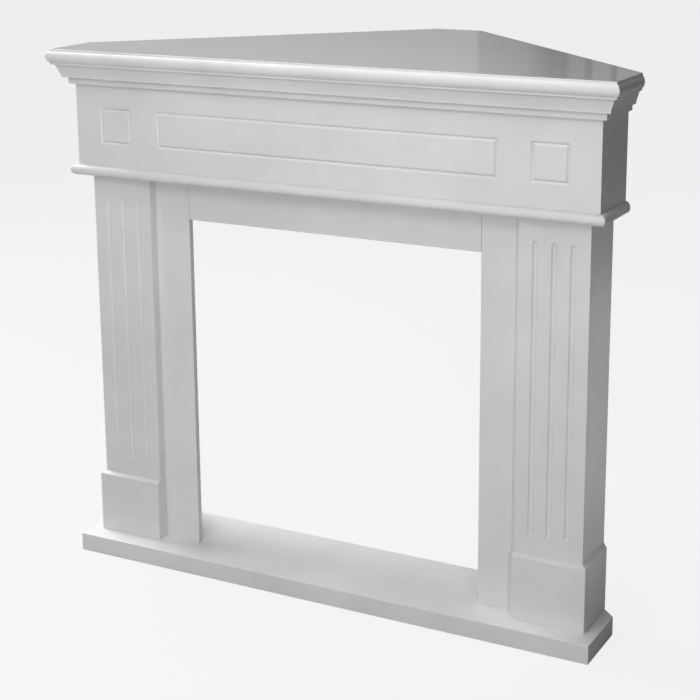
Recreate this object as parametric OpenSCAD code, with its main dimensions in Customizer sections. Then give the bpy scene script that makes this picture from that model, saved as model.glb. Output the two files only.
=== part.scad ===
// Corner fireplace mantelpiece: a boxed surround of painted boards that stands across a room's corner.
// All sizes are in millimetres. +Z is up and the front looks along -Y.
// The origin is on the floor, under the middle of the whole surround.

/* [Overall] */
// Height from the floor to the top of the shelf
overall_h = 1000; // [850:1:1300]
// Width across the shelf, bead to bead
overall_w = 1121; // [930:1:1500]
// Depth of the frieze's side, from its face back to the wall
return_d = 125.5; // [100:0.5:180]
// Width of the shelf's blunt back corner
back_corner_w = 100; // [40:1:300]
// Room left behind the lower pieces for a skirting board, square to the wall
skirting_gap = 14; // [0:1:25]

/* [Shelf] */
// Thickness of the shelf board
shelf_t = 29; // [22:0.5:38]
// How far the shelf's edge stands out from the frieze's face
shelf_overhang = 33; // [30:0.5:45]
// How far the bead stands out from the shelf's edge
bead_out = 6; // [3:0.5:9]
// Height of the plain fillet above and below the bead
bead_fillet = 3.5; // [2:0.5:6]

/* [Cornice] */
// How far the cornice's foot stands out from the frieze
cornice_foot_out = 9.5; // [6:0.5:14]
// Height of the cornice's foot
cornice_foot_h = 12.5; // [8:0.5:20]
// How far the cornice's middle fillet stands out from the frieze
cornice_fillet_out = 19; // [15:0.5:22]
// Height of the cornice's middle fillet
cornice_fillet_h = 4; // [2:0.5:8]
// How far the cornice's sloping face stands out at its top
cornice_top_out = 27.5; // [23:0.5:30]
// Height of the cornice's sloping face
cornice_slope_h = 20.5; // [14:0.5:30]

/* [Frieze] */
// Height of the frieze boards, from the waist board to the shelf
frieze_h = 192; // [160:1:260]
// Width of the plain margin outside the square panels
panel_side_margin = 53; // [30:1:80]
// Side of the square panels, over their grooves
square_panel = 70; // [40:1:90]
// Width of the plain frieze between a square panel and the long one
panel_gap = 57; // [20:1:100]
// Width of the panels' routed groove
groove_w = 7.5; // [4:0.5:12]
// Depth of the panels' routed groove
groove_d = 3; // [1:0.5:5]

/* [Waist board] */
// Thickness of the waist board under the frieze
waist_t = 19; // [15:0.5:30]
// How far the waist board's round nose stands out from the frieze
waist_out = 12.5; // [10:0.5:25]
// Depth of the waist board behind the frieze's face
waist_back_d = 168; // [150:1:220]

/* [Pilasters] */
// Width of each pilaster's face
pilaster_w = 128; // [100:1:154]
// How far the pilaster's outer side is set in from the frieze's
pilaster_inset = 20.5; // [10:0.5:30]
// How far the pilaster's face is set back from the frieze's
pilaster_setback = 17; // [12:0.5:25]
// Number of flutes on each pilaster
flute_count = 3; // [1:1:3]
// Distance between the flutes' middles
flute_pitch = 33.8; // [20:0.1:40]
// Width of a flute at the face
flute_w = 10; // [6:0.5:14]
// Depth of a flute
flute_d = 3.2; // [1.5:0.1:4.5]
// Plain face between the plinth and the flutes
flute_foot_gap = 36; // [20:1:80]
// Plain face between the flutes and the waist board
flute_head_gap = 41; // [20:1:80]

/* [Plinths] */
// Height of the plinth boards round each pilaster's foot
plinth_h = 123; // [90:1:180]
// Thickness of the plinth boards
plinth_t = 9; // [6:0.5:18]
// Height of the bevel along the plinth's top
plinth_bevel_h = 5; // [2:0.5:12]

/* [Inner frame] */
// Width of each upright that shows beside the pilaster
upright_show_w = 75; // [40:1:110]
// Height of the header over the opening
header_h = 75; // [50:1:120]
// Thickness of the uprights and the header
inner_frame_t = 12; // [9:0.5:18]
// Open joint between the header and each upright
header_joint = 0.5; // [0.2:0.1:1]

/* [Hearth] */
// Thickness of the hearth board
hearth_t = 35; // [25:1:50]
// How far the hearth's front stands out from the plinths
hearth_front_out = 40; // [20:1:80]
// How far the hearth's side stands out from the plinths
hearth_side_out = 23; // [10:1:40]
// Depth of the hearth behind the frieze's face
hearth_back_d = 168; // [150:1:220]

/* [Boards] */
// Thickness of the frieze, pilaster and side boards
board_t = 18; // [15:0.5:22]

/* [Hidden] */
$fn = 64;

// Half widths, from the middle of the surround
frieze_x = overall_w / 2 - shelf_overhang - bead_out;
shelf_x = frieze_x + shelf_overhang;
pilaster_out_x = frieze_x - pilaster_inset;
pilaster_in_x = pilaster_out_x - pilaster_w;
opening_x = pilaster_in_x - upright_show_w;
plinth_x = pilaster_out_x + plinth_t;
hearth_x = plinth_x + hearth_side_out;

// Depths, from the frieze's face at y = 0
shelf_front_y = -shelf_overhang;
pilaster_y = pilaster_setback;
plinth_y = pilaster_y - plinth_t;
inner_frame_y = pilaster_y + board_t;
hearth_front_y = plinth_y - hearth_front_out;

// Each wall is the line x + y = reach, at 45 degrees to the front
wall_reach = frieze_x + return_d;
lower_reach = wall_reach - skirting_gap * sqrt(2);
shelf_back_y = wall_reach - back_corner_w / 2;
middle_y = (shelf_front_y - bead_out + shelf_back_y) / 2;

// Heights, from the floor
shelf_z = overall_h - shelf_t;
frieze_z = shelf_z - frieze_h;
waist_z = frieze_z - waist_t;
opening_z = waist_z - header_h;
cornice_h = cornice_foot_h + cornice_fillet_h + cornice_slope_h;
post_h = waist_z - hearth_t;

// The frieze's face that shows between the waist board and the cornice
frieze_show_h = frieze_h - cornice_h;
long_panel_w = 2 * (frieze_x - panel_side_margin - square_panel - panel_gap);
square_panel_x = frieze_x - panel_side_margin - square_panel / 2;

// How far one profile shape reaches into the next, so that they join
lap = 1;

paint = "gainsboro";
shelf_paint = "lightgray";

// Radius of the arc that rises by `rise` over a chord of `chord`
function arc_radius(chord, rise) = (chord * chord / 4 + rise * rise) / (2 * rise);

// Plan of a board across the corner: straight front, square side returns, edges along the walls, straight back
function corner_plan(half_w, front_y, reach, back_y) = [
    [-half_w, front_y],
    [half_w, front_y],
    [half_w, reach - half_w],
    [reach - back_y, back_y],
    [back_y - reach, back_y],
    [-half_w, reach - half_w]
];

// Moves a piece from the frieze's face to the origin that all pieces share
module in_place() {
    translate([0, -middle_y, 0]) children();
}

// A profile drawn in (y, z), run along X across the middle
module along_x(length) {
    translate([-length / 2, 0, 0]) rotate([90, 0, 90]) linear_extrude(length) children();
}

// A profile drawn in (x, z), run along Y from the given start
module along_y(start, length) {
    translate([0, start + length, 0]) rotate([90, 0, 0]) linear_extrude(length) children();
}

module prism(points, z, h) {
    translate([0, 0, z]) linear_extrude(h) polygon(points);
}

module left_of() {
    mirror([1, 0, 0]) children();
}

// A board across the corner whose edge profile runs round the front and both sides.
// Child 0 is the front profile in (y, z), child 1 the side profile in (x, z).
module edged_board(half_w, front_y, reach, back_y, z, thickness) {
    // Extra length on each profile, which the plan cuts off
    spare = 50;
    intersection() {
        along_x(2 * half_w + spare) children(0);
        along_y(front_y - spare, back_y - front_y + 2 * spare) children(1);
        prism(corner_plan(half_w, front_y, reach, back_y), z, thickness);
    }
}

// The shelf's edge: a shallow bead between two fillets. The solid lies on +X from `back` to `edge`.
module bead_profile(back, edge, z) {
    bead_h = shelf_t - 2 * bead_fillet;
    radius = arc_radius(bead_h, bead_out);
    translate([back, z]) square([edge - back, shelf_t]);
    intersection() {
        translate([edge - lap, z + bead_fillet]) square([bead_out + 2 * lap, bead_h]);
        translate([edge + bead_out - radius, z + shelf_t / 2]) circle(radius);
    }
}

// The waist board's edge: a half-round nose
module nose_profile(back, edge, z) {
    radius = waist_t / 2;
    translate([back, z]) square([edge - radius - back, waist_t]);
    translate([edge - radius, z + radius]) circle(radius);
}

module shelf() color(shelf_paint) in_place() {
    edged_board(shelf_x + bead_out, shelf_front_y - bead_out, wall_reach, shelf_back_y, shelf_z, shelf_t) {
        mirror([1, 0]) bead_profile(-shelf_back_y - lap, shelf_overhang, shelf_z);
        union() {
            bead_profile(0, shelf_x, shelf_z);
            mirror([1, 0]) bead_profile(0, shelf_x, shelf_z);
        }
    }
}

module waist_board() color(paint) in_place() {
    edged_board(frieze_x + waist_out, -waist_out, wall_reach, waist_back_d, waist_z, waist_t) {
        mirror([1, 0]) nose_profile(-waist_back_d - lap, waist_out, waist_z);
        union() {
            nose_profile(0, frieze_x + waist_out, waist_z);
            mirror([1, 0]) nose_profile(0, frieze_x + waist_out, waist_z);
        }
    }
}

module hearth() color(paint) in_place() {
    prism(corner_plan(hearth_x, hearth_front_y, lower_reach, hearth_back_d), 0, hearth_t);
}

// The cornice's section, standing out along +X from the frieze's face at x = 0
module cornice_profile() {
    foot_top = cornice_foot_h;
    fillet_top = foot_top + cornice_fillet_h;
    translate([0, shelf_z - cornice_h]) polygon([
        [0, 0],
        [cornice_foot_out, 0],
        [cornice_foot_out, foot_top],
        [cornice_fillet_out, foot_top],
        [cornice_fillet_out, fillet_top],
        [cornice_top_out, cornice_h],
        [0, cornice_h]
    ]);
}

module cornice_front() color(paint) in_place() {
    reach = shelf_overhang;
    intersection() {
        along_x(2 * (frieze_x + reach)) mirror([1, 0]) cornice_profile();
        prism([[-frieze_x, 0], [frieze_x, 0], [frieze_x + reach, -reach], [-frieze_x - reach, -reach]],
            shelf_z - cornice_h, cornice_h);
    }
}

module cornice_right() color(paint) in_place() {
    reach = shelf_overhang;
    intersection() {
        along_y(-reach, return_d + reach) translate([frieze_x, 0]) cornice_profile();
        prism([[frieze_x, 0], [frieze_x + reach, -reach], [frieze_x + reach, return_d - reach],
            [frieze_x, return_d]], shelf_z - cornice_h, cornice_h);
    }
}

module cornice_left() left_of() cornice_right();

// What a pointed cutter takes out of the face at y = 0 along a rectangle, w by h over the groove
module panel_groove(w, h) {
    run_x = (w - groove_w) / 2;
    run_z = (h - groove_w) / 2;
    vee = [[-groove_w / 2, 0], [groove_w / 2, 0], [0, groove_d]];
    for (side = [-1, 1]) {
        translate([-run_x, 0, side * run_z]) rotate([0, 90, 0]) linear_extrude(2 * run_x)
            polygon(vee);
        translate([side * run_x, 0, -run_z]) linear_extrude(2 * run_z)
            polygon(vee);
        for (end = [-1, 1]) {
            translate([side * run_x, 0, end * run_z]) rotate([-90, 0, 0])
                cylinder(h = groove_d, r1 = groove_w / 2, r2 = 0);
        }
    }
}

module frieze_front() color(paint) in_place() {
    difference() {
        prism([[-frieze_x, 0], [frieze_x, 0], [frieze_x - board_t, board_t], [board_t - frieze_x, board_t]],
            frieze_z, frieze_h);
        translate([0, 0, frieze_z + frieze_show_h / 2]) {
            panel_groove(long_panel_w, square_panel);
            for (side = [-1, 1]) {
                translate([side * square_panel_x, 0, 0]) panel_groove(square_panel, square_panel);
            }
        }
    }
}

module frieze_right() color(paint) in_place() {
    prism([[frieze_x, 0], [frieze_x, return_d], [frieze_x - board_t, return_d + board_t],
        [frieze_x - board_t, board_t]], frieze_z, frieze_h);
}

module frieze_left() left_of() frieze_right();

// What a round-nosed cutter takes out of the pilaster's face, centred on x = 0
module flute() {
    radius = arc_radius(flute_w, flute_d);
    // The cutter's middle lies this far in front of the face
    lift = radius - flute_d;
    // The ball at each end reaches past its middle by this much at the face
    tip = flute_w / 2;
    foot_z = hearth_t + plinth_h + flute_foot_gap + tip;
    head_z = waist_z - flute_head_gap - tip;
    translate([0, pilaster_y - lift, foot_z]) cylinder(h = head_z - foot_z, r = radius);
    for (z = [foot_z, head_z]) {
        translate([0, pilaster_y - lift, z]) sphere(radius);
    }
}

module pilaster_right() color(paint) in_place() {
    difference() {
        prism([[pilaster_in_x, pilaster_y], [pilaster_out_x, pilaster_y],
            [pilaster_out_x - board_t, inner_frame_y], [pilaster_in_x, inner_frame_y]], hearth_t, post_h);
        for (i = [0 : flute_count - 1]) {
            translate([pilaster_in_x + pilaster_w / 2 + (i - (flute_count - 1) / 2) * flute_pitch, 0, 0])
                flute();
        }
    }
}

module pilaster_left() left_of() pilaster_right();

// The board that closes the pilaster's outer side and runs back to the wall
module side_panel_right() color(paint) in_place() {
    prism([[pilaster_out_x, pilaster_y], [pilaster_out_x, lower_reach - pilaster_out_x],
        [pilaster_out_x - board_t, lower_reach - pilaster_out_x + board_t],
        [pilaster_out_x - board_t, inner_frame_y]], hearth_t, post_h);
}

module side_panel_left() left_of() side_panel_right();

// The plinth board's section, standing out along +X from x = 0
module plinth_profile() {
    translate([0, hearth_t]) polygon([
        [0, 0],
        [plinth_t, 0],
        [plinth_t, plinth_h - plinth_bevel_h],
        [0, plinth_h]
    ]);
}

module plinth_front_right() color(paint) in_place() {
    intersection() {
        translate([0, pilaster_y, 0]) along_x(2 * plinth_x) mirror([1, 0]) plinth_profile();
        prism([[pilaster_in_x, pilaster_y], [pilaster_in_x, plinth_y], [plinth_x, plinth_y],
            [pilaster_out_x, pilaster_y]], hearth_t, plinth_h);
    }
}

module plinth_front_left() left_of() plinth_front_right();

module plinth_side_right() color(paint) in_place() {
    intersection() {
        along_y(plinth_y, lower_reach - pilaster_out_x - plinth_y)
            translate([pilaster_out_x, 0]) plinth_profile();
        prism([[pilaster_out_x, pilaster_y], [plinth_x, plinth_y], [plinth_x, lower_reach - plinth_x],
            [pilaster_out_x, lower_reach - pilaster_out_x]], hearth_t, plinth_h);
    }
}

module plinth_side_left() left_of() plinth_side_right();

module upright_right() color(paint) in_place() {
    translate([opening_x, inner_frame_y, hearth_t])
        cube([pilaster_out_x - board_t - opening_x, inner_frame_t, post_h]);
}

module upright_left() left_of() upright_right();

module header() color(paint) in_place() {
    header_x = opening_x - header_joint;
    translate([-header_x, inner_frame_y, opening_z]) cube([2 * header_x, inner_frame_t, header_h]);
}

shelf();
cornice_front();
cornice_left();
cornice_right();
frieze_front();
frieze_left();
frieze_right();
waist_board();
header();
upright_left();
upright_right();
pilaster_left();
pilaster_right();
side_panel_left();
side_panel_right();
plinth_front_left();
plinth_front_right();
plinth_side_left();
plinth_side_right();
hearth();
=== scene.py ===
"""Corner fireplace mantelpiece: a boxed surround of sprayed fibreboard.

Laid out as a Blender add-on and run as a script.
"""
import math

import bmesh
import bpy
from bpy.props import FloatProperty, FloatVectorProperty, IntProperty, PointerProperty
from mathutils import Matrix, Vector


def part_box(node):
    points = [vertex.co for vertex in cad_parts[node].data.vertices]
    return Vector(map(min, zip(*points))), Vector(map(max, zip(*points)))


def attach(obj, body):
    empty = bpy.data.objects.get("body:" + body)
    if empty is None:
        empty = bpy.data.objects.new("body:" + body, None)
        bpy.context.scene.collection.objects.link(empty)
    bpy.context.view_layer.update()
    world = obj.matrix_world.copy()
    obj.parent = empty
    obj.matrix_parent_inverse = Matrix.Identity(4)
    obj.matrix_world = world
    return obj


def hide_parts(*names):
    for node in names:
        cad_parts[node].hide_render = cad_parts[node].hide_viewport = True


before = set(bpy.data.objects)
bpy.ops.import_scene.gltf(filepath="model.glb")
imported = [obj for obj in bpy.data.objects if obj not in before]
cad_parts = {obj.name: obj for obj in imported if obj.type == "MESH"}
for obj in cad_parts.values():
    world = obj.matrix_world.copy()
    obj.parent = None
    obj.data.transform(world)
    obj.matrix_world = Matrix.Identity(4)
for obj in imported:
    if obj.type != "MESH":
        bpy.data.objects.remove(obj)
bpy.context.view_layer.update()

bl_info = {
    "name": "Corner fireplace mantelpiece",
    "version": (1, 0, 0),
    "blender": (4, 5, 0),
    "location": "3D View > Sidebar > Mantelpiece",
    "description": "Builds the boards, mouldings and flutes of a corner mantelpiece",
    "category": "Object",
}

BODY = "root"

# Points closer than this are one point, and faces that turn less than this are one face
MERGE_GAP = 0.00001
FLAT_TURN = math.radians(0.3)
# Only a corner sharper than this is an arris, which is eased in this many facets
ARRIS_TURN = math.radians(24)
ARRIS_FACETS = 3
# Where easing takes off a sharp corner, a piece may miss its CAD node's box by no more than this
FIT_GAP = 0.0015
# A face whose normal's Z is over this belongs to the top of its board
TOP_FACING = 0.9
# How far a cutter starts in front of the face that it cuts
CUTTER_CLEAR = 0.001
CUTTER_SIDES = 64
# Steps round the bead and the nose
NOSE_STEPS = 20

LEFT, RIGHT = -1, 1
SIDES = ((LEFT, "left"), (RIGHT, "right"))
# Which way is outwards at the end of a right-hand length: square to the front, or along a mitre
SQUARE_CUT = (0.0, -1.0)
CORNER_CUT = (1.0, -1.0)

SATIN = "Satin paint on fibreboard"
SEMI_GLOSS = "Semi-gloss paint on fibreboard"
HEARTH_SATIN = "Hearth satin paint on fibreboard"

# The paint's film drifts over the width of one spray pass
SPRAY_PASS = 0.16
# Dry spray makes the sheen uneven in patches of this size
SHEEN_PATCH = 0.03
# Orange peel has cells of 1 to 2 mm; they are drawn coarser, because finer ones don't show
PEEL_CELL = 0.0035
SATIN_PEEL = 0.000006
GLOSS_PEEL = 0.000002
# The sanded board under the paint waves gently
BOARD_WAVE = 0.06
WAVE_DEPTH = 0.00004
# How far dry spray moves each paint's roughness up and down
SATIN_DRIFT = 0.03
HEARTH_DRIFT = 0.04
GLOSS_DRIFT = 0.008
# The hearth's second coat is this much duller than the first
SECOND_COAT_DULLER = 0.06
# The part of a noise's values that is spread over the whole change of film or sheen
FILM_SPREAD = (0.34, 0.66)
SHEEN_SPREAD = (0.3, 0.7)
PAINT_IOR = 1.5
TOP_COAT_ROUGHNESS = 0.03

# The floor reaches this far each way, a hair below the hearth
FLOOR_REACH = 30.0
FLOOR_Z = -0.0004
FLOOR_ROUGHNESS = 0.9

# The room's walls as the gloss sees them: heading in degrees, and tone. The heading is 0 behind the
# surround, and a half turn behind the camera
WALLS = (
    (-180.0, 0.02),
    (-100.0, 0.1),
    (-90.0, 0.3),
    (-15.0, 0.3),
    (0.0, 0.02),
    (180.0, 0.02),
)
# The pale wall ends beside a dark opening with two thin posts: heading, and share of the wall's tone
OPENING = (
    (-25.0, 1.0),
    (-23.65, 1.0),
    (-23.6, 0.6),
    (-22.0, 0.5),
    (-21.2, 0.08),
    (-20.6, 0.0),
    (-20.4, 0.34),
    (-19.95, 0.34),
    (-19.9, 0.0),
    (-19.7, 0.0),
    (-19.65, 0.42),
    (-19.05, 0.42),
    (-19.0, 0.0),
    (-18.85, 0.0),
    (-18.8, 0.46),
    (-15.0, 0.4),
)
# The walls pass into the ceiling between these rises of a line of sight
CEILING_RISE = (0.45, 0.75)

SURROUND_MIDDLE = (0.0, -0.2, 0.5)
HEARTH_MIDDLE = (0.0, -0.25, 0.2)
# Square lamps: name, place, width, watts, what it is turned to, and whether the gloss mirrors it
LAMPS = (
    ("low_front", (-0.4, -3.5, 0.9), 1.5, 18.0, SURROUND_MIDDLE, True),
    # This one is small and strong, and would lie on the shelf as a hard white patch
    ("front_right", (2.1, -2.9, 1.35), 0.3, 18.5, SURROUND_MIDDLE, False),
    ("high_left", (-2.6, 0.2, 2.8), 1.5, 79.0, SURROUND_MIDDLE, True),
    ("over_back", (-1.2, 0.4, 3.2), 1.5, 31.0, SURROUND_MIDDLE, True),
    ("over_left", (-0.6, -2.3, 2.1), 0.9, 6.3, SURROUND_MIDDLE, True),
    ("over_right", (0.5, -2.3, 2.1), 0.9, 13.0, SURROUND_MIDDLE, True),
    ("near", (0.1, -0.9, 1.9), 0.5, 4.2, HEARTH_MIDDLE, True),
)
# A soft spotlight from the right picks out the long side of the right pilaster
SPOT_PLACE = (1.75, -0.28, 0.48)
SPOT_TARGET = (0.5, -0.2, 0.42)
SPOT_WATTS = 14.5
SPOT_RADIUS = 0.12
SPOT_ANGLE = math.radians(33.0)
SPOT_BLEND = 0.8

CAMERA_PLACE = (1.388, -2.76, 1.342)
# Degrees about X, Y and Z
CAMERA_TURN = (76.53, 0.43, 28.02)
CAMERA_SHIFT = -0.14
SENSOR_WIDTH = 36.0
MM_PER_METRE = 1000


def linear(code):
    """The linear colour that a shader wants, from an sRGB hex code."""
    parts = [int(code[i:i + 2], 16) / 255 for i in (1, 3, 5)]
    return tuple(c / 12.92 if c <= 0.04045 else ((c + 0.055) / 1.055) ** 2.4 for c in parts)


def size(name, description, default, low, high):
    """A length that a user would change."""
    return FloatProperty(
        name=name,
        description=description,
        default=default,
        min=low,
        max=high,
        precision=4,
        subtype="DISTANCE",
        unit="LENGTH",
    )


def colour(name, description, code):
    """A colour that a user would change."""
    return FloatVectorProperty(
        name=name,
        description=description,
        default=linear(code),
        min=0.0,
        max=1.0,
        size=3,
        subtype="COLOR",
    )


def share(name, description, default):
    """A number from 0 to 1 that a user would change."""
    return FloatProperty(
        name=name,
        description=description,
        default=default,
        min=0.0,
        max=1.0,
        subtype="FACTOR",
    )


class MantelShape(bpy.types.PropertyGroup):
    """Sizes of the profiles and of what is cut into the boards; the rest comes from the CAD frame."""

    bead_out: size("Bead", "How far the shelf's bead stands out from its edge", 0.006, 0.003, 0.009)
    bead_fillet: size("Bead fillet", "Plain fillet above and below the bead", 0.0035, 0.002, 0.006)
    foot_out: size("Cornice foot", "How far the cornice's foot stands out", 0.0095, 0.006, 0.014)
    foot_h: size("Foot height", "Height of the cornice's foot", 0.0125, 0.008, 0.02)
    fillet_out: size("Cornice fillet", "How far the cornice's fillet stands out", 0.019, 0.015, 0.022)
    fillet_h: size("Fillet height", "Height of the cornice's fillet", 0.004, 0.002, 0.008)
    side_margin: size("Panel margin", "Plain margin outside the square panels", 0.053, 0.03, 0.08)
    square: size("Square panel", "Side of the square panels, over their grooves", 0.07, 0.04, 0.09)
    panel_gap: size("Panel gap", "Plain frieze between a square panel and the long one", 0.057, 0.02, 0.1)
    groove_w: size("Groove width", "Width of the panels' routed groove", 0.0075, 0.004, 0.012)
    groove_d: size("Groove depth", "Depth of the panels' routed groove", 0.003, 0.001, 0.005)
    flutes: IntProperty(name="Flutes", description="Flutes on each pilaster", default=3, min=1, max=3)
    flute_pitch: size("Flute pitch", "Distance between the flutes' middles", 0.0338, 0.02, 0.04)
    flute_w: size("Flute width", "Width of a flute at the face", 0.01, 0.006, 0.014)
    flute_d: size("Flute depth", "Depth of a flute", 0.0032, 0.0015, 0.0045)
    flute_foot: size("Flute foot", "Plain face between the plinth and the flutes", 0.036, 0.02, 0.08)
    flute_head: size("Flute head", "Plain face between the flutes and the waist board", 0.041, 0.02, 0.08)
    plinth_bevel: size("Plinth bevel", "Height of the bevel along the plinth's top", 0.005, 0.002, 0.012)
    board_arris: size(
        "Board arris",
        "Width of the eased arris on the shelf, waist board, hearth and plinths",
        0.0011,
        0.0003,
        0.003,
    )
    moulding_arris: size(
        "Moulding arris",
        "Width of the eased arris on the cornice, frieze, pilasters and inner frame",
        0.0006,
        0.0002,
        0.002,
    )


class MantelFinish(bpy.types.PropertyGroup):
    """Paints of the surround."""

    paint_light: colour("Paint, full film", "Satin paint where the film is thick", "#e3e2e1")
    paint_thin: colour("Paint, thin film", "Satin paint where the film is thin", "#dbdad9")
    shelf_light: colour("Shelf, full film", "Semi-gloss paint where the film is thick", "#dbdad9")
    shelf_thin: colour("Shelf, thin film", "Semi-gloss paint where the film is thin", "#d8d6d5")
    hearth_light: colour("Hearth, full film", "Hearth's satin paint where the film is thick", "#f2f1f0")
    hearth_thin: colour("Hearth, thin film", "Hearth's satin paint where the film is thin", "#ebeae9")
    satin: share("Satin roughness", "Roughness of the satin paint", 0.42)
    gloss: share("Shelf roughness", "Roughness of the shelf's body coat", 0.3)


class MantelStudio(bpy.types.PropertyGroup):
    """Floor, light and camera."""

    floor: colour("Floor", "Colour of the plain floor", "#b2b2b1")
    sky: colour("Surroundings", "Colour seen behind the floor", "#ffffff")
    glow: share("Floor glow", "How far the floor looks like a light table", 0.85)
    ceiling: share("Ceiling", "Brightness of the room's ceiling", 0.02)
    lens: FloatProperty(
        name="Lens",
        description="Focal length of the camera",
        default=0.08455,
        min=0.02,
        max=0.3,
        precision=4,
        unit="CAMERA",
    )


def add(tree, kind, inputs=None, **settings):
    """Adds one node. Each input takes a value, another node's first output, or a socket."""
    made = tree.nodes.new(kind)
    for name, value in settings.items():
        setattr(made, name, value)
    for name, value in (inputs or {}).items():
        if isinstance(value, bpy.types.Node):
            value = value.outputs[0]
        if isinstance(value, bpy.types.NodeSocket):
            tree.links.new(value, made.inputs[name])
        else:
            made.inputs[name].default_value = value
    return made


def start_tree(name, sockets):
    """A new geometry tree with its named inputs, and the node that holds them."""
    tree = bpy.data.node_groups.new(name, "GeometryNodeTree")
    faces = tree.interface
    faces.new_socket("Geometry", in_out="INPUT", socket_type="NodeSocketGeometry")
    for label, kind in sockets.items():
        faces.new_socket(label, in_out="INPUT", socket_type="NodeSocket" + kind)
    faces.new_socket("Finish", in_out="INPUT", socket_type="NodeSocketMaterial")
    faces.new_socket("Geometry", in_out="OUTPUT", socket_type="NodeSocketGeometry")
    return tree, add(tree, "NodeGroupInput").outputs


def end_tree(tree, given, geometry):
    """Ends a tree in real geometry with its finish."""
    real = add(tree, "GeometryNodeRealizeInstances", {"Geometry": geometry})
    painted = add(tree, "GeometryNodeSetMaterial", {"Geometry": real, "Material": given["Finish"]})
    add(tree, "NodeGroupOutput", {"Geometry": painted})
    return tree


def keep_fields(tree, curve, fields):
    """Stores the named values on each point of a curve, to be read after the sweep."""
    for name, value in fields.items():
        curve = add(
            tree,
            "GeometryNodeStoreNamedAttribute",
            {"Geometry": curve, "Name": name, "Value": value},
            data_type="FLOAT_VECTOR",
            domain="POINT",
        )
    return curve


def sweep(tree, path, profile):
    """Sweeps the profile along the path and puts each point at corner + cut * out + height.

    A plain sweep narrows at a mitre. Here the section's X follows the corner's own cut, so it stays true.
    """
    swept = add(
        tree,
        "GeometryNodeCurveToMesh",
        {"Curve": path, "Profile Curve": profile, "Fill Caps": True},
    )
    fields = {
        name: add(tree, "GeometryNodeInputNamedAttribute", {"Name": name}, data_type="FLOAT_VECTOR")
        for name in ("corner", "cut", "section")
    }
    section = add(tree, "ShaderNodeSeparateXYZ", {"Vector": fields["section"]})
    height = add(tree, "ShaderNodeCombineXYZ", {"Z": section.outputs["Z"]})
    out = add(
        tree,
        "ShaderNodeVectorMath",
        {0: fields["cut"], "Scale": section.outputs["X"]},
        operation="SCALE",
    )
    place = add(tree, "ShaderNodeVectorMath", {0: fields["corner"], 1: out}, operation="ADD")
    place = add(tree, "ShaderNodeVectorMath", {0: place, 1: height}, operation="ADD")
    laid = add(tree, "GeometryNodeSetPosition", {"Geometry": swept, "Position": place})
    for name in fields:
        laid = add(tree, "GeometryNodeRemoveAttribute", {"Geometry": laid, "Name": name})
    return laid


def mitred_length_tree():
    """A length of board or moulding: a closed section run from one cut end to the other."""
    tree, given = start_tree(
        "Mitred length",
        {"Start": "Vector", "End": "Vector", "Start cut": "Vector", "End cut": "Vector"},
    )
    position = add(tree, "GeometryNodeInputPosition")
    index = add(tree, "GeometryNodeInputIndex")
    section = add(tree, "GeometryNodeMeshToCurve", {"Mesh": given["Geometry"]})
    section = keep_fields(tree, section, {"section": position})
    run = add(tree, "GeometryNodeCurvePrimitiveLine", {"Start": given["Start"], "End": given["End"]})
    cut = add(
        tree,
        "GeometryNodeIndexSwitch",
        {"Index": index, 1: given["Start cut"], 2: given["End cut"]},
        data_type="VECTOR",
    )
    run = keep_fields(tree, run, {"corner": position, "cut": cut})
    return end_tree(tree, given, sweep(tree, run, section))


def corner_board_tree():
    """A board across the room's corner: an edge section run round the front and both ends.

    The edge fades out of the plan at the walls, where the board is simply sawn at 45 degrees.
    """
    tree, given = start_tree(
        "Corner board",
        {"Half width": "Float", "Front": "Float", "Wall reach": "Float", "Back": "Float"},
    )
    position = add(tree, "GeometryNodeInputPosition")
    index = add(tree, "GeometryNodeInputIndex")
    half, front, reach, back = (given[name] for name in ("Half width", "Front", "Wall reach", "Back"))
    end = add(tree, "ShaderNodeMath", {0: reach, 1: half}, operation="SUBTRACT")
    back_half = add(tree, "ShaderNodeMath", {0: reach, 1: back}, operation="SUBTRACT")
    left_half, left_back_half = (
        add(tree, "ShaderNodeMath", {0: right, 1: -1.0}, operation="MULTIPLY")
        for right in (half, back_half)
    )
    corners = [
        (left_half, front, (-1, -1, 0)),
        (half, front, (1, -1, 0)),
        (half, end, (1, -1, 0)),
        (back_half, back, (0, 0, 0)),
        (left_back_half, back, (0, 0, 0)),
        (left_half, end, (-1, -1, 0)),
    ]
    plan = add(tree, "GeometryNodeCurvePrimitiveCircle", {"Resolution": len(corners), "Radius": 1.0})
    corner = add(tree, "GeometryNodeIndexSwitch", {"Index": index}, data_type="VECTOR")
    cut = add(tree, "GeometryNodeIndexSwitch", {"Index": index}, data_type="VECTOR")
    for switch in (corner, cut):
        while len(switch.index_switch_items) < len(corners):
            switch.index_switch_items.new()
    for place, (x, y, lean) in enumerate(corners, start=1):
        point = add(tree, "ShaderNodeCombineXYZ", {"X": x, "Y": y})
        tree.links.new(point.outputs[0], corner.inputs[place])
        cut.inputs[place].default_value = lean
    plan = keep_fields(tree, plan, {"corner": corner, "cut": cut})
    edge = add(tree, "GeometryNodeMeshToCurve", {"Mesh": given["Geometry"]})
    edge = keep_fields(tree, edge, {"section": position})
    return end_tree(tree, given, sweep(tree, edge, plan))


def cutter_run(tree, cutter, start, end):
    """What a cutter clears on a straight run: the hull of the cutter at both ends."""
    both = add(tree, "GeometryNodeJoinGeometry")
    for place in (start, end):
        placed = add(tree, "GeometryNodeTransform", {"Geometry": cutter, "Translation": place})
        tree.links.new(placed.outputs[0], both.inputs[0])
    return add(tree, "GeometryNodeConvexHull", {"Geometry": both})


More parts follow.
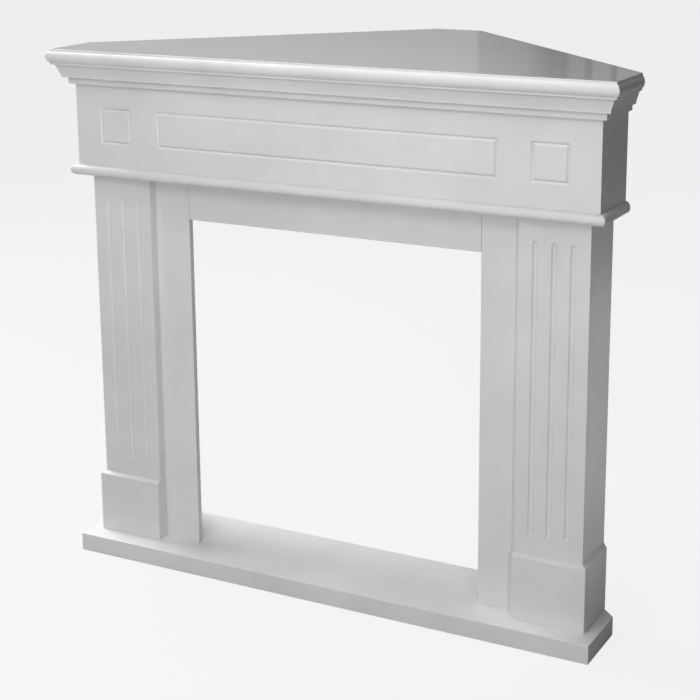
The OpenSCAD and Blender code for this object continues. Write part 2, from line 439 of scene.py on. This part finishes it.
def routed_panel_tree():
    """A board with a rectangle routed into its face by a pointed cutter."""
    tree, given = start_tree(
        "Routed panel",
        {
            "Middle": "Vector",
            "Width": "Float",
            "Height": "Float",
            "Groove width": "Float",
            "Groove depth": "Float",
        },
    )
    # The cutter's cone is carried on in front of the face, so that the cut starts clear of it
    deep = add(tree, "ShaderNodeMath", {0: given["Groove depth"], 1: CUTTER_CLEAR}, operation="ADD")
    flare = add(tree, "ShaderNodeMath", {0: deep, 1: given["Groove depth"]}, operation="DIVIDE")
    half_groove = add(tree, "ShaderNodeMath", {0: given["Groove width"], 1: 0.5}, operation="MULTIPLY")
    wide = add(tree, "ShaderNodeMath", {0: half_groove, 1: flare}, operation="MULTIPLY")
    cone = add(
        tree,
        "GeometryNodeMeshCone",
        {"Vertices": CUTTER_SIDES, "Radius Top": 0.0, "Radius Bottom": wide, "Depth": deep},
    )
    back_off = add(tree, "ShaderNodeCombineXYZ", {"Y": -CUTTER_CLEAR})
    # The cone points along +Y, into the board
    cone = add(
        tree,
        "GeometryNodeTransform",
        {"Geometry": cone, "Translation": back_off, "Rotation": (-math.pi / 2, 0, 0)},
    )
    # The cutter's path runs along the groove's middle, half a groove inside the panel's outline
    path = []
    for side in ("Width", "Height"):
        half = add(tree, "ShaderNodeMath", {0: given[side], 1: 0.5}, operation="MULTIPLY")
        path.append(add(tree, "ShaderNodeMath", {0: half, 1: half_groove}, operation="SUBTRACT"))
    corners = []
    for x, z in ((-1, -1), (1, -1), (1, 1), (-1, 1)):
        reach = add(tree, "ShaderNodeCombineXYZ", {"X": path[0], "Z": path[1]})
        turned = add(tree, "ShaderNodeVectorMath", {0: reach, 1: (x, 0, z)}, operation="MULTIPLY")
        corners.append(add(tree, "ShaderNodeVectorMath", {0: turned, 1: given["Middle"]}, operation="ADD"))
    routed = add(
        tree,
        "GeometryNodeMeshBoolean",
        {"Mesh 1": given["Geometry"]},
        operation="DIFFERENCE",
        solver="EXACT",
    )
    for here, there in zip(corners, corners[1:] + corners[:1]):
        tree.links.new(cutter_run(tree, cone, here, there).outputs[0], routed.inputs["Mesh 2"])
    return end_tree(tree, given, routed)


def fluted_board_tree():
    """A board with a row of upright flutes, cut by a round-nosed cutter."""
    tree, given = start_tree(
        "Fluted board",
        {
            "Middle": "Vector",
            "Foot": "Float",
            "Head": "Float",
            "Flutes": "Int",
            "Pitch": "Float",
            "Cutter radius": "Float",
        },
    )
    ball = add(
        tree,
        "GeometryNodeMeshUVSphere",
        {"Segments": CUTTER_SIDES, "Rings": CUTTER_SIDES // 2, "Radius": given["Cutter radius"]},
    )
    low = add(tree, "ShaderNodeCombineXYZ", {"Z": given["Foot"]})
    high = add(tree, "ShaderNodeCombineXYZ", {"Z": given["Head"]})
    run = cutter_run(tree, ball, low, high)
    gaps = add(tree, "ShaderNodeMath", {0: given["Flutes"], 1: 1.0}, operation="SUBTRACT")
    spread = add(tree, "ShaderNodeMath", {0: gaps, 1: given["Pitch"]}, operation="MULTIPLY")
    half_spread = add(tree, "ShaderNodeMath", {0: spread, 1: 0.5}, operation="MULTIPLY")
    back_to_first = add(tree, "ShaderNodeCombineXYZ", {"X": half_spread})
    first = add(tree, "ShaderNodeVectorMath", {0: given["Middle"], 1: back_to_first}, operation="SUBTRACT")
    step = add(tree, "ShaderNodeCombineXYZ", {"X": given["Pitch"]})
    row = add(
        tree,
        "GeometryNodeMeshLine",
        {"Count": given["Flutes"], "Start Location": first, "Offset": step},
        mode="OFFSET",
    )
    cutters = add(tree, "GeometryNodeInstanceOnPoints", {"Points": row, "Instance": run})
    cutters = add(tree, "GeometryNodeRealizeInstances", {"Geometry": cutters})
    fluted = add(
        tree,
        "GeometryNodeMeshBoolean",
        {"Mesh 1": given["Geometry"], "Mesh 2": cutters},
        operation="DIFFERENCE",
        solver="EXACT",
    )
    return end_tree(tree, given, fluted)


TREES = {
    "length": mitred_length_tree,
    "corner": corner_board_tree,
    "panel": routed_panel_tree,
    "flutes": fluted_board_tree,
}
made_trees = {}


def draw(name, points, closed):
    """A section drawn as a line in a new object: X is outwards and Z is up."""
    mesh = bpy.data.meshes.new(name)
    edges = [(i, i + 1) for i in range(len(points) - 1)]
    if closed:
        edges.append((len(points) - 1, 0))
    mesh.from_pydata([(x, 0, z) for x, z in points], edges, [])
    obj = bpy.data.objects.new(name, mesh)
    bpy.context.scene.collection.objects.link(obj)
    return obj


def grow(obj, tree_name, finish, **sizes):
    """Puts a tree on the object, with each size set by its socket's identifier."""
    if tree_name not in made_trees:
        made_trees[tree_name] = TREES[tree_name]()
    tree = made_trees[tree_name]
    modifier = obj.modifiers.new(tree.name, "NODES")
    modifier.node_group = tree
    sockets = {
        item.name: item.identifier
        for item in tree.interface.items_tree
        if item.item_type == "SOCKET" and item.in_out == "INPUT"
    }
    modifier[sockets["Finish"]] = finish
    for name, value in sizes.items():
        modifier[sockets[name.replace("_", " ").capitalize()]] = value


def settle(obj, name):
    """Turns the object and its modifiers into one plain mesh under a new name."""
    graph = bpy.context.evaluated_depsgraph_get()
    mesh = bpy.data.meshes.new_from_object(
        obj.evaluated_get(graph),
        preserve_all_data_layers=True,
        depsgraph=graph,
    )
    bpy.data.objects.remove(obj)
    mesh.name = name
    made = bpy.data.objects.new(name, mesh)
    bpy.context.scene.collection.objects.link(made)
    return made


def tidy_faces(mesh):
    """Merges double points and flat neighbours, and turns every face outwards."""
    work = bmesh.new()
    work.from_mesh(mesh)
    bmesh.ops.remove_doubles(work, verts=work.verts, dist=MERGE_GAP)
    bmesh.ops.dissolve_limit(work, angle_limit=FLAT_TURN, verts=work.verts, edges=work.edges)
    bmesh.ops.recalc_face_normals(work, faces=work.faces)
    for face in work.faces:
        face.smooth = True
    work.to_mesh(mesh)
    work.free()


def finish_piece(obj, node, arris):
    """Eases the arrises, checks the piece against its CAD node and lets it stand for that node."""
    obj = settle(obj, "painted_" + node)
    tidy_faces(obj.data)
    easing = obj.modifiers.new("Eased arrises", "BEVEL")
    easing.width = arris
    easing.segments = ARRIS_FACETS
    easing.limit_method = "ANGLE"
    easing.angle_limit = ARRIS_TURN
    easing.harden_normals = True
    obj = settle(obj, "painted_" + node)
    low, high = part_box(node)
    for axis in range(3):
        places = [vertex.co[axis] for vertex in obj.data.vertices]
        if abs(min(places) - low[axis]) > FIT_GAP or abs(max(places) - high[axis]) > FIT_GAP:
            raise RuntimeError(f"{obj.name} doesn't fill its box: {min(places)} to {max(places)}")
    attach(obj, BODY)
    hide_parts(node)
    return obj


def coat_top(obj, kind):
    """Gives only the board's top the extra coat; its edges and underside keep the satin."""
    obj.data.materials.append(finish_of(kind))
    for face in obj.data.polygons:
        face.material_index = 1 if face.normal.z > TOP_FACING else 0


def board_section(thickness, low, high):
    """A flat board's section behind its face."""
    return [(-thickness, low), (0, low), (0, high), (-thickness, high)]


def sided(point, side):
    """A place on the right, or its mirror image on the left."""
    return (side * point[0], point[1], 0.0)


def build_length(node, section, start, end, cuts, arris, cut_more=None):
    """Builds one mitred length and gives it to its CAD node."""
    obj = draw(node + "_section", section, True)
    grow(obj, "length", finish_of(SATIN), start=start, end=end, start_cut=cuts[0], end_cut=cuts[1])
    if cut_more:
        cut_more(obj)
    finish_piece(obj, node, arris)


def build_front(node, section, corner, arris, cut_more=None):
    """Builds the length that runs along the whole front between its two mitred corners."""
    corners = [sided(corner, side) for side in (LEFT, RIGHT)]
    cuts = [sided(CORNER_CUT, side) for side in (LEFT, RIGHT)]
    build_length(node, section, *corners, cuts, arris, cut_more)


def build_side_front(node, section, inner_x, corner, side, arris, cut_more=None):
    """Builds the length of the front from a square inner end to its mitred corner."""
    start, end = sided((inner_x, corner[1]), side), sided(corner, side)
    cuts = [sided(SQUARE_CUT, side), sided(CORNER_CUT, side)]
    build_length(node, section, start, end, cuts, arris, cut_more)


def build_return(node, section, corner, end_y, side, arris):
    """Builds the length that runs back from a mitred front corner to the wall, or towards it."""
    start, end = sided(corner, side), sided((corner[0], end_y), side)
    build_length(node, section, start, end, [sided(CORNER_CUT, side)] * 2, arris)


def build_corner_board(node, edge, reach):
    """Builds one board across the room's corner and gives it to its CAD node."""
    low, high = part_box(node)
    obj = draw(node + "_edge", edge, False)
    grow(obj, "corner", finish_of(SATIN), half_width=high.x, front=low.y, wall_reach=reach, back=high.y)
    return finish_piece(obj, node, bpy.context.scene.mantel_shape.board_arris)


def wall_reach():
    """How far the wall's line x + y = reach lies from the middle, by the frieze and the cornice."""
    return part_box("frieze_front")[1].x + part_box("cornice_right")[1].y


def lower_reach():
    """The same for the lower pieces, which leave room for the skirting board."""
    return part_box("pilaster_right")[1].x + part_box("plinth_side_right")[1].y


def blank(holder):
    """The emptied node tree of a material or a world."""
    holder.use_nodes = True
    holder.node_tree.nodes.clear()
    return holder.node_tree


def paint(name, thick, thin, roughness, drift, peel, coat=0.0):
    """Sprayed paint on fibreboard.

    The film drifts between its two tones, and the roughness drifts up and down. The peel is the depth of
    the orange peel, and the coat is the weight of a clear, glossy film on top.
    """
    finish = bpy.data.materials.new(name)
    tree = blank(finish)
    place = add(tree, "ShaderNodeTexCoord").outputs["Object"]
    film = add(
        tree,
        "ShaderNodeTexNoise",
        {"Vector": place, "Scale": 1 / SPRAY_PASS, "Detail": 3.0, "Roughness": 0.55},
    )
    film = add(
        tree,
        "ShaderNodeMapRange",
        {"Value": film, "From Min": FILM_SPREAD[0], "From Max": FILM_SPREAD[1]},
    )
    tone = add(
        tree,
        "ShaderNodeMix",
        {0: film, 6: (*thin, 1.0), 7: (*thick, 1.0)},
        data_type="RGBA",
    )
    cells = add(tree, "ShaderNodeTexNoise", {"Vector": place, "Scale": 1 / PEEL_CELL, "Detail": 1.0})
    bump = add(tree, "ShaderNodeBump", {"Strength": 1.0, "Distance": peel, "Height": cells})
    wave = add(tree, "ShaderNodeTexNoise", {"Vector": place, "Scale": 1 / BOARD_WAVE, "Detail": 1.0})
    bump = add(
        tree,
        "ShaderNodeBump",
        {"Strength": 1.0, "Distance": WAVE_DEPTH, "Height": wave, "Normal": bump},
    )
    sheen = add(tree, "ShaderNodeTexNoise", {"Vector": place, "Scale": 1 / SHEEN_PATCH, "Detail": 2.0})
    sheen = add(
        tree,
        "ShaderNodeMapRange",
        {
            "Value": sheen,
            "From Min": SHEEN_SPREAD[0],
            "From Max": SHEEN_SPREAD[1],
            "To Min": roughness - drift,
            "To Max": roughness + drift,
        },
    )
    surface = add(
        tree,
        "ShaderNodeBsdfPrincipled",
        {
            "Base Color": tone.outputs[2],
            "Roughness": sheen,
            "Normal": bump,
            "IOR": PAINT_IOR,
            "Coat Weight": coat,
            "Coat Roughness": TOP_COAT_ROUGHNESS,
        },
    )
    add(tree, "ShaderNodeOutputMaterial", {"Surface": surface})
    return finish


def finish_of(kind):
    """The paint of that kind, made once."""
    look = bpy.context.scene.mantel_finish
    if kind in bpy.data.materials:
        return bpy.data.materials[kind]
    if kind == SEMI_GLOSS:
        # A wiped, semi-gloss top coat: soft reflections that lie on a pale body
        return paint(kind, look.shelf_light, look.shelf_thin, look.gloss, GLOSS_DRIFT, GLOSS_PEEL, 1.0)
    if kind == HEARTH_SATIN:
        # The hearth's top gets its own satin: a touch whiter than the boards' satin, with a flatter sheen
        dull = look.satin + SECOND_COAT_DULLER
        return paint(kind, look.hearth_light, look.hearth_thin, dull, HEARTH_DRIFT, SATIN_PEEL)
    # Sprayed satin polyurethane: an even pale body with a broad, dim highlight and faint orange peel
    return paint(kind, look.paint_light, look.paint_thin, look.satin, SATIN_DRIFT, SATIN_PEEL)


class MANTEL_OT_shelf(bpy.types.Operator):
    """Builds the shelf board with its bead along the front and both ends"""

    bl_idname = "mantel.shelf"
    bl_label = "Shelf"

    def execute(self, context):
        shape = context.scene.mantel_shape
        low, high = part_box("shelf")
        bead_low, bead_high = low.z + shape.bead_fillet, high.z - shape.bead_fillet
        chord = bead_high - bead_low
        radius = (chord * chord / 4 + shape.bead_out ** 2) / (2 * shape.bead_out)
        middle, half_turn = (bead_low + bead_high) / 2, math.asin(chord / 2 / radius)
        edge = [(-shape.bead_out, low.z), (-shape.bead_out, bead_low)]
        for step in range(1, NOSE_STEPS):
            turn = half_turn * (2 * step / NOSE_STEPS - 1)
            edge.append((radius * (math.cos(turn) - 1), middle + radius * math.sin(turn)))
        edge += [(-shape.bead_out, bead_high), (-shape.bead_out, high.z)]
        obj = build_corner_board("shelf", edge, wall_reach())
        coat_top(obj, SEMI_GLOSS)
        return {"FINISHED"}


class MANTEL_OT_waist_board(bpy.types.Operator):
    """Builds the waist board with its round nose under the frieze"""

    bl_idname = "mantel.waist_board"
    bl_label = "Waist board"

    def execute(self, context):
        low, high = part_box("waist_board")
        radius = (high.z - low.z) / 2
        nose = []
        for step in range(NOSE_STEPS + 1):
            turn = math.pi * (step / NOSE_STEPS - 0.5)
            nose.append((radius * (math.cos(turn) - 1), low.z + radius * (1 + math.sin(turn))))
        build_corner_board("waist_board", nose, wall_reach())
        return {"FINISHED"}


class MANTEL_OT_hearth(bpy.types.Operator):
    """Builds the thick hearth board that everything stands on"""

    bl_idname = "mantel.hearth"
    bl_label = "Hearth"

    def execute(self, context):
        low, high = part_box("hearth")
        obj = build_corner_board("hearth", [(0, low.z), (0, high.z)], lower_reach())
        coat_top(obj, HEARTH_SATIN)
        return {"FINISHED"}


class MANTEL_OT_cornice(bpy.types.Operator):
    """Builds the three mitred lengths of cornice under the shelf"""

    bl_idname = "mantel.cornice"
    bl_label = "Cornice"

    def execute(self, context):
        shape = context.scene.mantel_shape
        low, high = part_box("cornice_front")
        frieze_x, face_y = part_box("frieze_front")[1].x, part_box("frieze_front")[0].y
        top_out = high.x - frieze_x
        foot_z = low.z + shape.foot_h
        fillet_z = foot_z + shape.fillet_h
        section = [
            (0, low.z),
            (shape.foot_out, low.z),
            (shape.foot_out, foot_z),
            (shape.fillet_out, foot_z),
            (shape.fillet_out, fillet_z),
            (top_out, high.z),
            (0, high.z),
        ]
        corner, end_y = (frieze_x, face_y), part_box("cornice_right")[1].y
        build_front("cornice_front", section, corner, shape.moulding_arris)
        for side, word in SIDES:
            build_return("cornice_" + word, section, corner, end_y, side, shape.moulding_arris)
        return {"FINISHED"}


class MANTEL_OT_frieze(bpy.types.Operator):
    """Builds the frieze: the front board with its three routed panels, and both returns"""

    bl_idname = "mantel.frieze"
    bl_label = "Frieze"

    def execute(self, context):
        shape = context.scene.mantel_shape
        low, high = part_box("frieze_front")
        thickness = high.y - low.y
        section = board_section(thickness, low.z, high.z)
        panel_z = (low.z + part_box("cornice_front")[0].z) / 2
        square_x = high.x - shape.side_margin - shape.square / 2
        long_w = 2 * (high.x - shape.side_margin - shape.square - shape.panel_gap)

        def rout(obj):
            for x, width in ((-square_x, shape.square), (0.0, long_w), (square_x, shape.square)):
                grow(
                    obj,
                    "panel",
                    finish_of(SATIN),
                    middle=(x, low.y, panel_z),
                    width=width,
                    height=shape.square,
                    groove_width=shape.groove_w,
                    groove_depth=shape.groove_d,
                )

        corner, end_y = (high.x, low.y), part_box("frieze_right")[1].y - thickness
        build_front("frieze_front", section, corner, shape.moulding_arris, rout)
        for side, word in SIDES:
            build_return("frieze_" + word, section, corner, end_y, side, shape.moulding_arris)
        return {"FINISHED"}


class MANTEL_OT_pilasters(bpy.types.Operator):
    """Builds both fluted pilasters and the boards that close their outer sides"""

    bl_idname = "mantel.pilasters"
    bl_label = "Pilasters"

    def execute(self, context):
        shape = context.scene.mantel_shape
        low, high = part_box("pilaster_right")
        thickness = high.y - low.y
        section = board_section(thickness, low.z, high.z)
        radius = (shape.flute_w ** 2 / 4 + shape.flute_d ** 2) / (2 * shape.flute_d)
        tip = shape.flute_w / 2
        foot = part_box("plinth_front_right")[1].z + shape.flute_foot + tip
        head = high.z - shape.flute_head - tip
        end_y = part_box("side_panel_right")[1].y - thickness
        corner, arris = (high.x, low.y), shape.moulding_arris
        for side, word in SIDES:

            def flute(obj):
                grow(
                    obj,
                    "flutes",
                    finish_of(SATIN),
                    middle=(side * (low.x + high.x) / 2, low.y - radius + shape.flute_d, 0.0),
                    foot=foot,
                    head=head,
                    flutes=shape.flutes,
                    pitch=shape.flute_pitch,
                    cutter_radius=radius,
                )

            build_side_front("pilaster_" + word, section, low.x, corner, side, arris, flute)
            build_return("side_panel_" + word, section, corner, end_y, side, arris)
        return {"FINISHED"}


class MANTEL_OT_plinths(bpy.types.Operator):
    """Builds the bevelled plinth boards round each pilaster's foot"""

    bl_idname = "mantel.plinths"
    bl_label = "Plinths"

    def execute(self, context):
        shape = context.scene.mantel_shape
        low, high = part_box("plinth_front_right")
        post_low, post_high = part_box("pilaster_right")
        thickness = high.x - post_high.x
        section = [(0, low.z), (thickness, low.z), (thickness, high.z - shape.plinth_bevel), (0, high.z)]
        end_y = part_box("plinth_side_right")[1].y
        corner, arris = (post_high.x, post_low.y), shape.board_arris
        for side, word in SIDES:
            build_side_front("plinth_front_" + word, section, post_low.x, corner, side, arris)
            build_return("plinth_side_" + word, section, corner, end_y, side, arris)
        return {"FINISHED"}


class MANTEL_OT_inner_frame(bpy.types.Operator):
    """Builds the header and the two uprights round the fire opening"""

    bl_idname = "mantel.inner_frame"
    bl_label = "Inner frame"

    def execute(self, context):
        arris = context.scene.mantel_shape.moulding_arris
        for node in ("header", "upright_left", "upright_right"):
            low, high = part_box(node)
            section = board_section(high.y - low.y, low.z, high.z)
            ends = [(low.x, low.y, 0.0), (high.x, low.y, 0.0)]
            build_length(node, section, *ends, [(*SQUARE_CUT, 0.0)] * 2, arris)
        return {"FINISHED"}


def round_ramp(tree, heading, stops):
    """Tones by heading, spread over no more than the stops' own range, so that thin bands stay crisp."""
    first, last = stops[0][0], stops[-1][0]
    along = add(
        tree,
        "ShaderNodeMapRange",
        {"Value": heading, "From Min": math.radians(first), "From Max": math.radians(last)},
    )
    ramp = add(tree, "ShaderNodeValToRGB", {"Fac": along})
    bands = ramp.color_ramp.elements
    bands[0].color = (*[stops[0][1]] * 3, 1.0)
    bands[1].color = (*[stops[-1][1]] * 3, 1.0)
    for turn, tone in stops[1:-1]:
        bands.new((turn - first) / (last - first)).color = (tone, tone, tone, 1.0)
    return ramp


def lay_floor(scene, studio):
    """Lays a matt floor that looks like a light table, and lights the boards only by what it bounces."""
    mesh = bpy.data.meshes.new("studio_floor")
    turns = ((-1, -1), (1, -1), (1, 1), (-1, 1))
    mesh.from_pydata([(x * FLOOR_REACH, y * FLOOR_REACH, FLOOR_Z) for x, y in turns], [], [(0, 1, 2, 3)])
    floor = bpy.data.objects.new("studio_floor", mesh)
    scene.collection.objects.link(floor)
    # Matt floor paint: one even pale tone without a highlight
    finish = bpy.data.materials.new("Matt painted studio floor")
    tree = blank(finish)
    matt = add(
        tree,
        "ShaderNodeBsdfPrincipled",
        {"Base Color": (*studio.floor, 1.0), "Roughness": FLOOR_ROUGHNESS},
    )
    glow = add(tree, "ShaderNodeEmission", {"Color": (*studio.sky, 1.0), "Strength": 1.0})
    straight = add(tree, "ShaderNodeLightPath").outputs["Is Camera Ray"]
    lit = add(tree, "ShaderNodeMath", {0: straight, 1: studio.glow}, operation="MULTIPLY")
    both = add(tree, "ShaderNodeMixShader", {0: lit, 1: matt, 2: glow})
    add(tree, "ShaderNodeOutputMaterial", {"Surface": both})
    mesh.materials.append(finish)


def build_room(scene, studio):
    """Puts walls and a ceiling round the surround for its light and gloss, behind a plain sky."""
    world = bpy.data.worlds.new("Studio")
    tree = blank(world)
    place = add(tree, "ShaderNodeTexCoord").outputs["Generated"]
    way = add(tree, "ShaderNodeSeparateXYZ", {"Vector": place})
    heading = add(tree, "ShaderNodeMath", {0: way.outputs["X"], 1: way.outputs["Y"]}, operation="ARCTAN2")
    walls = add(
        tree,
        "ShaderNodeMix",
        {0: 1.0, 6: round_ramp(tree, heading, WALLS), 7: round_ramp(tree, heading, OPENING)},
        data_type="RGBA",
        blend_type="MULTIPLY",
    )
    ceiling = add(
        tree,
        "ShaderNodeMapRange",
        {"Value": way.outputs["Z"], "From Min": CEILING_RISE[0], "From Max": CEILING_RISE[1]},
    )
    dark = (*[studio.ceiling] * 3, 1.0)
    lit = add(tree, "ShaderNodeMix", {0: ceiling, 6: walls.outputs[2], 7: dark}, data_type="RGBA")
    room = add(tree, "ShaderNodeBackground", {"Color": lit.outputs[2], "Strength": 1.0})
    seen = add(tree, "ShaderNodeBackground", {"Color": (*studio.sky, 1.0), "Strength": studio.glow})
    straight = add(tree, "ShaderNodeLightPath").outputs["Is Camera Ray"]
    both = add(tree, "ShaderNodeMixShader", {0: straight, 1: room, 2: seen})
    add(tree, "ShaderNodeOutputWorld", {"Surface": both})
    scene.world = world


def hang_lamp(scene, name, kind, watts, place, target):
    """Hangs one unseen lamp, turned to its target."""
    lamp = bpy.data.lights.new(name, kind)
    lamp.energy = watts
    obj = bpy.data.objects.new("lamp_" + name, lamp)
    obj.location = place
    obj.rotation_euler = (Vector(target) - Vector(place)).to_track_quat("-Z", "Y").to_euler()
    obj.visible_camera = False
    scene.collection.objects.link(obj)
    return obj


def hang_lamps(scene):
    """Hangs the square lamps and the spotlight."""
    for name, place, width, watts, target, mirrored in LAMPS:
        obj = hang_lamp(scene, name, "AREA", watts, place, target)
        obj.data.size = width
        obj.visible_glossy = mirrored
    spot = hang_lamp(scene, "side_spot", "SPOT", SPOT_WATTS, SPOT_PLACE, SPOT_TARGET).data
    spot.shadow_soft_size = SPOT_RADIUS
    spot.spot_size = SPOT_ANGLE
    spot.spot_blend = SPOT_BLEND


def place_camera(scene, studio):
    """Places the camera, a little above the shelf and to its right."""
    eye = bpy.data.cameras.new("studio_camera")
    eye.lens = studio.lens * MM_PER_METRE
    eye.sensor_width = SENSOR_WIDTH
    eye.shift_y = CAMERA_SHIFT
    camera = bpy.data.objects.new("studio_camera", eye)
    camera.location = CAMERA_PLACE
    camera.rotation_euler = [math.radians(turn) for turn in CAMERA_TURN]
    scene.collection.objects.link(camera)
    scene.camera = camera


class MANTEL_OT_studio(bpy.types.Operator):
    """Builds the floor, the room, the lamps and the camera"""

    bl_idname = "mantel.studio"
    bl_label = "Studio"

    def execute(self, context):
        scene, studio = context.scene, context.scene.mantel_studio
        scene.view_settings.view_transform = "Standard"
        lay_floor(scene, studio)
        build_room(scene, studio)
        hang_lamps(scene)
        place_camera(scene, studio)
        return {"FINISHED"}


STEPS = (
    MANTEL_OT_shelf,
    MANTEL_OT_cornice,
    MANTEL_OT_frieze,
    MANTEL_OT_waist_board,
    MANTEL_OT_inner_frame,
    MANTEL_OT_pilasters,
    MANTEL_OT_plinths,
    MANTEL_OT_hearth,
    MANTEL_OT_studio,
)


class MANTEL_PT_panel(bpy.types.Panel):
    """Lists the sizes, the finishes and the steps"""

    bl_idname = "MANTEL_PT_panel"
    bl_label = "Corner mantelpiece"
    bl_space_type = "VIEW_3D"
    bl_region_type = "UI"
    bl_category = "Mantelpiece"

    def draw(self, context):
        scene = context.scene
        for group in (scene.mantel_shape, scene.mantel_finish, scene.mantel_studio):
            box = self.layout.box()
            for name in group.__annotations__:
                box.prop(group, name)
        for step in STEPS:
            self.layout.operator(step.bl_idname)


CLASSES = (MantelShape, MantelFinish, MantelStudio, *STEPS, MANTEL_PT_panel)


def register():
    """Registers the classes, and keeps the sizes, finishes and studio with the scene."""
    for cls in CLASSES:
        bpy.utils.register_class(cls)
    bpy.types.Scene.mantel_shape = PointerProperty(type=MantelShape)
    bpy.types.Scene.mantel_finish = PointerProperty(type=MantelFinish)
    bpy.types.Scene.mantel_studio = PointerProperty(type=MantelStudio)


def unregister():
    """Takes away what register put in place."""
    del bpy.types.Scene.mantel_studio
    del bpy.types.Scene.mantel_finish
    del bpy.types.Scene.mantel_shape
    for cls in reversed(CLASSES):
        bpy.utils.unregister_class(cls)


def main():
    """Builds everything in order."""
    register()
    for step in STEPS:
        group, name = step.bl_idname.split(".")
        getattr(getattr(bpy.ops, group), name)()


if __name__ == "__main__":
    main()
